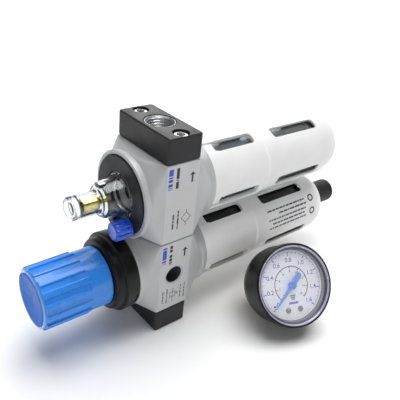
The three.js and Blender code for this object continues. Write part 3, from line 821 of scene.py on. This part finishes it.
def regulator_drive():
    collar = eased([
        (-19.5, 14.8), (-19.5, 19.3), (-25.9, 19.5), (-26.3, 17.7), (-29.1, 17.4),
        (-30.1, 16.2), (-30.1, 11.3), (-24.4, 11.3), (-24.4, 14.8),
    ], 0.7, closed=True, steps=4)
    notches = []
    for k in range(6):
        levels = [(18.9, 0), (19.3, 0), (20.2, 0.3)]
        notches.append(wrapped(-20.7, 45.5 + 60 * k, 0.5, 2.2, 0.3, levels, FR_AXIS))
    fine("regulator_collar_nut", carved(lathe(collar, 128, at=FR_AXIS), notches), BLACK)

    turned("regulator_bonnet", [
        (-21, 8.6), (-21, 14.4), (-24, 14.4), (-24, 11), (-46, 11), (-46, 3.4), (-43, 3.4),
        (-43, 8.6),
    ], BLACK, 0.5)
    for node, radius, finish in (
        ("diaphragm", 14.3, RUBBER), ("diaphragm_plate", 8, STEEL),
        ("spring_seat_plate", 8.2, STEEL),
    ):
        low, high = part_box(node)
        disc = [(low.x, 0), (low.x, radius), (high.x, radius), (high.x, 0)]
        turned(node, disc, finish, 0.25)
    coils = coil(6.6, 0.9, -36.7, -23.3, 4.5, FR_AXIS)
    spring("setting_spring", coils)
    plate = [(-41.8, 3.3), (-41.8, 8.2), (-37.9, 8.2), (-37.9, 3.3)]
    turned("spring_plate", plate, BRASS, 0.4)

    spindle = [(-24.5, 0), (-24.5, 2.6)]
    spindle += [(x, 2.6) for x in span(-24.8, -46, 0.12)]
    spindle += [(-46.3, 3), (-46.3, 5.5), (-48.8, 5.5), (-48.8, 0)]
    stem = lathe(spindle, 48, at=FR_AXIS, relief=thread(2.5, 0.45, 1.0, 2.7))
    drive = lathe([(-57, 0), (-57, 3.4), (-56.6, 4), (-48.5, 4), (-48.5, 0)], 6, at=FR_AXIS)
    fine("adjusting_spindle", carved(stem, [drive], "UNION"), BRASS)


def regulator_valve():
    turned("valve_seat", [(-2.8, 2.4), (-2.8, 4), (6, 4), (6, 2.4)], BRASS, 0.3, 64)
    turned("valve_plug", [
        (-18, 0), (-18, 1.3), (6.3, 1.3), (6.3, 4.2), (9, 4.2), (9.3, 1.8), (19, 1.8), (19, 0),
    ], BRASS, 0.3, 48)
    coils = coil(3.3, 0.45, 9.95, 16.6, 4.5, FR_AXIS)
    spring("valve_spring", coils)
    cage = lathe(eased([
        (6.6, 5), (6.6, 6.2), (20, 6.2), (20, 2.1), (17.6, 2.1), (17.6, 5),
    ], 0.3, closed=True), 64, at=FR_AXIS)
    windows = [
        rod(1.6, -7, 7, "y", (12, 0, FILTER_Z), 32),
        rod(1.6, FILTER_Z - 7, FILTER_Z + 7, "z", (12, 0, 0), 32),
    ]
    fine("valve_cage", carved(cage, windows), BLACK)


# ---- filter and bowls
def filter_internals():
    swirl = lathe(eased([(20.6, 7), (20.6, 13.6), (24.4, 13.6), (24.4, 7)], 0.3, True),
                  at=FR_AXIS)
    vanes = []
    for k in range(12):
        vane = slab(-3.2, 3.2, 0.8, 1.7, 0.3, 0.2, axis="x")
        vane.transform(Matrix.Rotation(0.6, 4, "Z"))
        vane.transform(Matrix.Translation((22.5, 0, 13)))
        vane.transform(Matrix.Rotation(2 * pi * k / 12, 4, "X"))
        vane.transform(Matrix.Translation(FR_AXIS))
        vanes.append(vane)
    fine("swirl_ring", carved(swirl, vanes), BLACK)
    element = [(24.8, 7), (24.8, 9.6)]
    element += [(x, 9.8) for x in span(25, 59.6, 1.2)] + [(59.8, 9.6), (59.8, 7)]

    def pleats(along, angle, radius):
        return 0.15 * cos(radians(angle) * 36) if radius > 9.7 else 0

    fine("filter_element", lathe(element, 216, at=FR_AXIS, relief=pleats), NYLON)
    baffle = [(60.2, 2.3), (60.2, 6), (64.6, 12.6), (65.8, 12.6), (62, 5.8), (62, 2.3)]
    turned("baffle", baffle, BLACK, 0.35)
    tie = [(20.4, 0), (20.4, 2), (66.2, 2), (66.2, 3.6), (68.6, 3.6), (69, 0)]
    turned("filter_tie_rod", tie, BLACK, 0.3, 48)


BOWL_NECK = [(6.9, 14.4), (6.9, 15.6), (7.4, 16.1), (8.4, 16.1), (8.4, 15.2), (10.2, 15.2),
             (10.2, 16.1)]
BOWL_INSIDE = [(103.6, 12), (97, 14.2)]


def bowls():
    turned("filter_bowl", [
        *BOWL_NECK, (98, 15.9), (105, 13.5), (108.8, 8.5), (109.2, 6.2), (121, 6.2), (121, 3.2),
        (107.2, 3.2), (107, 7), *BOWL_INSIDE,
    ], SMOKED, 0.4)
    turned("lubricator_bowl", [
        (108.6, 0), (107, 7.4), *BOWL_INSIDE, *BOWL_NECK, (98, 15.9), (105, 13.5), (109, 8.5),
        (110.4, 0),
    ], BOWL, 0.4, at=L_AXIS)
    for side, axis in (("filter", FR_AXIS), ("lubricator", L_AXIS)):
        fine(f"{side}_bowl_seal", ring(15.83, 0.5, 9.3, at=axis, sides=96), RUBBER)

    tube = [(4, 1), (4, 1.9), (98, 1.9), (98, 1)]
    turned("pickup_tube", tube, NYLON, 0.2, 40, PICKUP_AXIS)
    strainer = eased([(90, 2.2), (90, 3.6), (101, 3.6), (102, 0)], 0.4)
    strainer += [(100, 0), (98.4, 2.2), (90, 2.2)]
    fine("pickup_strainer", lathe(strainer, 48, at=PICKUP_AXIS), BRASS)


SLOT_ANGLE = 66
SLOT_HALF_S = 3.4      # half the width of a slot, round the guard
GUARD_R = 18.2
NOSE_START = 106
NOSE_R = 12.4          # of the flat end


def guard(node, axis, hole):
    """The perforated guard over a bowl: two tiers of four slots, and a rounded nose. hole is the
    radius of the one in its end, or 0."""
    nose = []
    for k in range(9):
        turn = radians(90 * k / 8)
        nose.append((NOSE_START + (GUARD_END - NOSE_START) * sin(turn),
                     NOSE_R + (GUARD_R - NOSE_R) * cos(turn)))
    outer = eased([(13.9, 18.1), (20.8, 18.1), (20.8, 19), (56.6, 19), (58.4, 18.4),
                   (NOSE_START, GUARD_R)], 0.4)[:-1]
    inner = [(116.4, 11.4), (112.6, 15.4), (107, 17.2), (13.9, 17.2)]
    if hole:
        end = [(GUARD_END, hole + 0.4), (GUARD_END - 0.3, hole), (116.6, hole)]
        profile = [*outer, *nose, *end, *inner]
    else:
        profile = [(116.4, 0), *inner, *outer, *nose, (GUARD_END, 0)]
    shell = lathe(profile, 144, at=axis)
    cutters = []
    for turn in range(4):
        angle = SLOT_ANGLE + 90 * turn
        for start, stop, radius in ((27, 52, 19), (67, 101, 18.3)):
            levels = [(14, 0), (radius - 0.5, 0), (radius - 0.1, 0.1), (radius + 0.03, 0.25),
                      (radius + 1.5, 0.4)]
            cutters.append(wrapped((start + stop) / 2, angle, (stop - start) / 2, SLOT_HALF_S,
                                   1.7, levels, axis))
        levels = [(18.0, 0), (18.7, 0.05), (19.05, 0.3), (20.5, 0.5)]
        cutters.append(wrapped(24.1, angle, 3.2, SLOT_HALF_S - 0.1, 1.0, levels, axis))
    fine(node, carved(shell, cutters), WHITE)


def guard_print():
    """Plain bars in place of the fine print on the filter guard, and two plain symbols."""
    rng = random.Random(11)
    levels = [(18.2, 0), (18.36, 0)]
    marks = []
    lines = ((39.5, 61, 100), (31.5, 76, 100), (23, 67, 99), (15.5, 70, 99), (8, 65, 99))
    for angle, start, stop in lines:
        x = start
        while x < stop - 1.5:
            length = min(rng.uniform(1.5, 4.5), stop - x)
            marks.append(wrapped(x + length / 2, angle, length / 2 - 0.25, 0.45, 0.12, levels,
                                 FR_AXIS))
            x += length
    add("filter_guard_print", merged(marks), GREY_INK, on="filter_bowl_guard")
    symbols = []
    for angle in (37.5, 12.8):
        disc = wrapped(104.3, angle, 2.2, 2.2, 2.15, levels, FR_AXIS, arc=8)
        inside = wrapped(104.3, angle, 1.4, 1.4, 1.35, [(17.9, 0), (18.8, 0)], FR_AXIS, arc=8)
        symbols.append(carved(disc, [inside]))
    add("filter_guard_symbols", merged(symbols), GREY_INK, on="filter_bowl_guard")


def drain():
    stem = lathe(eased([(104, 0), (104, 2.9), (125.6, 2.9), (125.6, 0)], 0.3), 48, at=FR_AXIS)
    fine("drain_stem", carved(stem, [rod(1.1, 103, 127, at=FR_AXIS, sides=24)]), BLACK)

    def flutes(along, angle, radius):
        if radius < 7 or not 121.5 < along < 137.6:
            return 0
        return -0.16 * (0.5 + 0.5 * cos(radians(angle) * 30))

    shell = [(119, 6.5), (119, 7.1), (119.2, 7.2)]
    shell += [(x, 7.2) for x in span(121.4, 137.7, 0.9)]
    shell += eased([(138.2, 7.2), (DRAIN_END, 7.1), (DRAIN_END, 2.4), (131, 2.4)], 0.7)
    shell += [(131, 1.4), (126, 1.4), (126, 3.2), (121.4, 3.2), (121.4, 6.5)]
    fine("drain_knob", lathe(shell, 240, at=FR_AXIS, relief=flutes), DISC)


# ---- lubricator sight side
def lubricator_sight():
    disc = lathe(eased([(-20, 10.9), (-20, 18.2), (-17.7, 18.2), (-17.7, 10.9)], 0.3, True),
                 128, at=L_AXIS)
    holes = [rod(3.1, -21, -17, "x", FILLER_AXIS),
             rod(2, -21, -17, "x", RELIEF_AXIS)]
    fine("lubricator_disc", carved(disc, holes), DISC)

    dome = eased([
        (-17.7, 8.3), (-17.7, 10.6), (-19.9, 10.6), (-20.4, 9.6), (-29.4, 8), (-31, 7),
        (-31.3, 5.3), (-41, 5.2), (-41, 3.9), (-30.6, 3.9), (-29.4, 6.3), (-20, 8.3),
    ], 0.5, closed=True)
    lug = slab(-31, -27.6, 2, 1.1, 0.5, 0.3, "x", (0, 0, OILER_Z + 7.7))
    fine("sight_dome", carved(lathe(dome, at=L_AXIS), [lug], "UNION"), CLEAR)

    def facets(along, angle, radius):
        if radius < 3.2 or not -38.6 < along < -32:
            return 0
        off = ((angle + 30) % 60) - 30
        return radius * (0.93 / cos(radians(off)) - 1) if abs(off) < 21.5 else 0

    screw = [(-41, 0), (-41, 2.2), (-39.2, 2.2), (-39, 3.3), (-38.6, 3.3), (-38.55, 3.3)]
    screw += [(-35, 3.3), (-32.05, 3.3), (-32, 3.3), (-31.6, 3.3), (-30, 1.4), (-25, 1.1),
              (-24.4, 0)]
    fine("drip_screw", lathe(screw, 120, at=L_AXIS, relief=facets), BRASS)
    fine("drip_seal", ring(2.98, 0.55, -39.8, at=L_AXIS), RUBBER)
    turned("drip_adjuster", [
        (-41.3, 0), (-41.3, 4.9), (-42, 5.3), (-44.1, 5.3), (-44.7, 4.7), (-44.7, 3.9),
        (-43.2, 3.3), (-43.2, 1.2), (-43.5, 0),
    ], CLEAR, 0.25, at=L_AXIS)

    def flutes(along, angle, radius):
        if radius < 4 or along > -21.3:
            return 0
        return -0.5 * max(0, cos(radians(angle) * 10)) ** 2

    stem = [(-12.6, 0), (-12.6, 2.4), (-15.5, 2.4), (-15.5, 2), (-16.5, 2), (-16.5, 2.4),
            (-20.3, 2.4), (-20.3, 4.5), (-21.2, 4.65), (-21.4, 4.65)]
    stem += [(x, 4.65) for x in span(-22, -27, 1)]
    stem += [(-27.8, 4.5), (-28.3, 4.1), (-28.6, 3.4), (-28.4, 2.8), (-28.4, 0)]
    fine("oil_filler_cap", lathe(stem, 120, at=FILLER_AXIS, relief=flutes), DEEP_BLUE)
    fine("filler_seal", ring(2.5, 0.3, -16, at=FILLER_AXIS), RUBBER)
    turned("relief_plug", [
        (-14, 0), (-14, 1.6), (-20.3, 1.6), (-20.3, 2.6), (-21.9, 2.6), (-22.2, 2.2), (-22.2, 0),
    ], BLACK, 0.2, 48, RELIEF_AXIS)


# ---- pressure gauge
DIAL_FACE = -4.0
SWEEP_START = 225      # degrees, of the zero of both scales
SWEEP = 270
ARC_STEP = 3.0         # degrees
ARC_OVERLAP = 1.05
TYPE_WEIGHT = 0.012    # how much the numerals are thickened, as a share of their size


def on_dial(radius, angle, height=DIAL_FACE):
    turn = radians(angle)
    return (radius * cos(turn), radius * sin(turn), height)


def printed(outline, radius=0, angle=0):
    """An outline printed on the dial, moved out to a radius and turned."""
    mark = prism(outline, DIAL_FACE, DIAL_FACE + INK, "z")
    mark.transform(Matrix.Translation((radius, 0, 0)))
    mark.transform(Matrix.Rotation(radians(angle), 4, "Z"))
    return mark


def tick(radius, length, width, angle):
    outline = rounded_rectangle(length / 2, width / 2, width / 4, 2)
    return printed(outline, radius + length / 2, angle)


def arc_band(radius, width, start, end):
    """A thin printed arc, drawn as a row of short overlapping strokes."""
    length = radius * radians(ARC_STEP) * ARC_OVERLAP
    outline = rounded_rectangle(width / 2, length / 2, width / 5, 1)
    return [printed(outline, radius, angle) for angle in span(start, end, ARC_STEP)]


def numeral(text, size, radius, angle):
    curve = bpy.data.curves.new("numeral", "FONT")
    curve.body = text
    curve.size = size
    curve.align_x = "CENTER"
    curve.align_y = "CENTER"
    curve.extrude = INK
    curve.offset = size * TYPE_WEIGHT
    mesh = evaluated(linked("numeral", curve))
    mesh.transform(Matrix.Translation(on_dial(radius, angle)))
    return mesh


def gauge_dial():
    face = [(-4.6, 1.2), (-4.6, 17.7), (DIAL_FACE, 17.7), (DIAL_FACE, 1.2)]
    fine("gauge_dial", lathe(face, 128, "z"), DIAL)

    blue = []
    for k in range(9):
        angle = SWEEP_START - SWEEP * k / 8
        text = f"{0.2 * k:.1f}" if k else "0"
        blue.append(numeral(text, 3.2, 12.6, angle))
        blue.append(tick(14.7, 1.9, 0.45, angle))
    for k in range(33):
        if k % 4:
            angle = SWEEP_START - SWEEP * k / 32
            blue.append(tick(15.6, 1.0, 0.18, angle))
    blue += arc_band(16.6, 0.16, SWEEP_START, SWEEP_START - SWEEP)
    plate = [(u, v - 9.1) for u, v in rounded_rectangle(2.7, 0.55, 0.2)]
    blue.append(printed(plate))
    add("gauge_scale_blue", merged(blue), BLUE_INK, on="gauge_dial")

    dark = arc_band(9.4, 0.5, SWEEP_START, SWEEP_START - SWEEP)
    for k in range(9):
        angle = SWEEP_START - SWEEP * k / 8
        dark.append(tick(8.3, 1.1, 0.36, angle))
        dark.append(numeral(str(2 * k), 1.7, 7.0, angle))
    for k in range(3):
        outline = [(u, v - 5.4 - 0.9 * k) for u, v in rounded_rectangle(1.7 - 0.4 * k, 0.3, 0.1)]
        dark.append(printed(outline))
    add("gauge_scale_dark", merged(dark), DARK_INK, on="gauge_dial")

    screws = []
    for x in (-3.5, 3.4):
        head = lathe([
            (DIAL_FACE, 0), (DIAL_FACE, 1.5), (DIAL_FACE + 0.3, 1.45), (DIAL_FACE + 0.75, 1.1),
            (DIAL_FACE + 1, 0.5), (DIAL_FACE + 1.05, 0),
        ], 40, "z", (x, -12.5, 0))
        slot = slab(DIAL_FACE + 0.5, DIAL_FACE + 2, 1.8, 0.2, 0.05, 0.02, "z", (x, -12.5, 0))
        screws.append(carved(head, [slot]))
    add("gauge_dial_screws", merged(screws), NICKEL, on="gauge_dial")
    stop = lathe([(DIAL_FACE, 0), (DIAL_FACE, 0.45), (DIAL_FACE + 1.6, 0.4), (DIAL_FACE + 1.7, 0)],
                 32, "z", on_dial(14.6, SWEEP_START - 5, 0))
    add("gauge_rest_pin", stop, BLACK, on="gauge_dial")


def gauge():
    shell = eased([
        (-0.6, 19.4), (-0.6, 20.4), (-15, 20.4), (-19.6, 19.4), (-23, 16.8), (-23, 4.4),
        (-21, 4.4), (-21, 16), (-14.6, 18.6), (-5, 18.6), (-5, 19.4),
    ], 1.4, closed=True, steps=5)
    fine("gauge_case", lathe(shell, 128, "z"), BLACK)
    bezel = eased([(-4, 20.5), (-4, 21.2), (-0.3, 21.2), (0.2, 20.8), (0.2, 20.3), (-0.4, 20.2)],
                  0.2, closed=True)
    fine("gauge_bezel", lathe(bezel, 128, "z"), BLACK)
    reflector = eased([(-0.3, 20.15), (0.0, 20.1), (-0.2, 19.5), (-0.9, 19.2), (-1.2, 19.3),
                       (-1.0, 19.8)], 0.12, closed=True)
    add("gauge_reflector", lathe(reflector, 128, "z"), SILVER, on="gauge_bezel")
    # The wall round the dial recess is coloured dark as painted shade.
    wall = [(-4.7, 17.75), (-4.7, 18.5), (-2.4, 18.55), (-1.2, 19.2), (-0.95, 19.15),
            (-1.3, 18.5), (-2.3, 18.25)]
    add("gauge_dial_wall", lathe(wall, 128, "z"), RECESS_SHADE_RING, on="gauge_bezel")
    lens = eased([(-2.1, 0), (-2.2, 18.0), (-1.5, 18.2), (-1.4, 0)], 0.2)
    fine("gauge_lens", lathe(lens, 128, "z"), LENS)
    gauge_dial()

    tail, tail_r, tip = -7.6, 1.45, 15.2
    outline = []
    for k in range(13):
        turn = radians(180 + 15 * k)
        outline.append((tail_r * cos(turn), tail + tail_r + tail_r * sin(turn)))
    outline += [(1.4, -1.6), (1.0, 1.6), (0.2, tip), (-0.2, tip), (-1.0, 1.6), (-1.4, -1.6)]
    needle = prism(outline, -3.1, -2.7, "z")
    hub = lathe(eased([(-3.2, 0), (-3.2, 2.4), (-2.4, 2.4), (-2.1, 1.6), (-2.0, 0)], 0.3), 64, "z")
    needle = carved(needle, [hub], "UNION")
    needle.transform(Matrix.Rotation(radians(SWEEP_START - 90), 4, "Z"))
    fine("gauge_pointer", needle, NEEDLE)
    shaft = eased([(-16.5, 0), (-16.5, 0.8), (-3.5, 0.8), (-3.5, 0)], 0.2)
    fine("pointer_shaft", lathe(shaft, 32, "z"), BRASS)

    plate = slab(-8, -7, 7, 9, 1.2, 0.15)
    fine("gauge_movement_plate", carved(plate, [rod(1.1, -9, -6, "z")]), BRASS)
    tube = []
    for angle in span(-90, 144, 4):
        section = rounded_rectangle(2, 0.9, 0.8, 3)
        tube.append([on_dial(13 + v, angle, -14 + u) for u, v in section])
    fine("bourdon_tube", sheathed(tube, capped=True), BRASS)

    flats = slab(-30.4, -23.3, 5.65, 5.65, 0.5, 0.5)
    flats.transform(Matrix.Rotation(radians(45), 4, "Z"))
    screw = [(-39.5, 0), (-39.5, 4.2)]
    screw += [(z, 4.3) for z in span(-39.3, -31.5, 0.1)]
    screw += [(-31.2, 4.2), (-18.5, 4.1), (-18.5, 0)]
    stem = lathe(screw, 72, "z", relief=thread(4.3, 0.55, GAUGE_PITCH, 4.9))
    bore = rod(1.5, -41, -25, "z", sides=32)
    fine("gauge_stem", carved(carved(stem, [flats], "UNION"), [bore]), BRASS)


# ---- stage
# in metres, as are the places of the lights and the camera
HALF_FLOOR = 1.5
FLOOR_DROP = 0.0001
HORIZON_LIGHT = 1.0
SKY_LIGHT = 0.16
HORIZON_BAND = (0.06, 0.2)    # the height of a direction, where the one fades into the other


def stage():
    half = HALF_FLOOR
    mesh = bpy.data.meshes.new("floor")
    mesh.from_pydata([(-half, -half, 0), (half, -half, 0), (half, half, 0), (-half, half, 0)],
                     [], [(0, 1, 2, 3)])
    floor = linked("floor", mesh)
    floor.location.z = -FLOOR_DROP
    paper = material("paper_floor", 0xFAFAFA, 0.9, grain=300, bump=0.02, tint=0.01, spread=0.05)
    mesh.materials.append(paper)

    world = bpy.data.worlds.new("studio")
    world.use_nodes = True
    tree = world.node_tree
    sky = tree.nodes["Background"]
    sky.inputs["Color"].default_value = (1, 1, 1, 1)
    direction = tree.nodes.new("ShaderNodeTexCoord")
    parts = tree.nodes.new("ShaderNodeSeparateXYZ")
    tree.links.new(direction.outputs["Generated"], parts.inputs["Vector"])
    fade = map_range(tree, parts.outputs["Z"], HORIZON_BAND, (HORIZON_LIGHT, SKY_LIGHT))
    tree.links.new(fade, sky.inputs["Strength"])
    bpy.context.scene.world = world


LIT_POINT = (0, 0, 0.05)


def lamp(name, place, size, power):
    """A square light of a size in metres and a power in watts, aimed at the object."""
    light = bpy.data.lights.new(name, "AREA")
    light.energy = power
    light.shape = "SQUARE"
    light.size = size
    holder = linked(name, light)
    holder.location = place
    toward = Vector(LIT_POINT) - Vector(place)
    holder.rotation_mode = "QUATERNION"
    holder.rotation_quaternion = toward.to_track_quat("-Z", "Y")


def lights():
    lamp("top_light", (0.5, 0.2, 2.8), 2.4, 96)
    lamp("back_light", (1.5, 1.6, 1.3), 1.5, 18)
    lamp("front_light", (-1.0, -2.1, 1.5), 1.2, 3)
    bpy.context.scene.view_settings.view_transform = "Standard"


def camera():
    """Looks down on the front left, at the photograph's angle."""
    azimuth = radians(-42.86)
    elevation = radians(29.51)
    roll = radians(6.65)
    aim = Vector((0.0116, 0.0462, 0.0379))
    distance = 0.3
    back = Vector((
        sin(azimuth) * cos(elevation), -cos(azimuth) * cos(elevation),
        sin(elevation),
    ))
    level = Vector((cos(azimuth), sin(azimuth), 0))
    rise = back.cross(level)
    right = level * cos(roll) + rise * sin(roll)
    lens = bpy.data.cameras.new("camera")
    lens.lens = 46.1
    lens.clip_start = 0.01
    holder = linked("camera", lens)
    holder.matrix_world = Matrix.Translation(aim + back * distance) @ facing(right, back)
    bpy.context.scene.camera = holder


# ---- the object
camera()
stage()
lights()
port_block("inlet")
port_block("outlet")
regulator_housing()
lubricator_housing()
module_joint()
labels()
regulator_knob()
regulator_drive()
regulator_valve()
filter_internals()
bowls()
guard("filter_bowl_guard", FR_AXIS, 7.7)
guard("lubricator_bowl_guard", L_AXIS, 0)
guard_print()
drain()
lubricator_sight()
gauge()
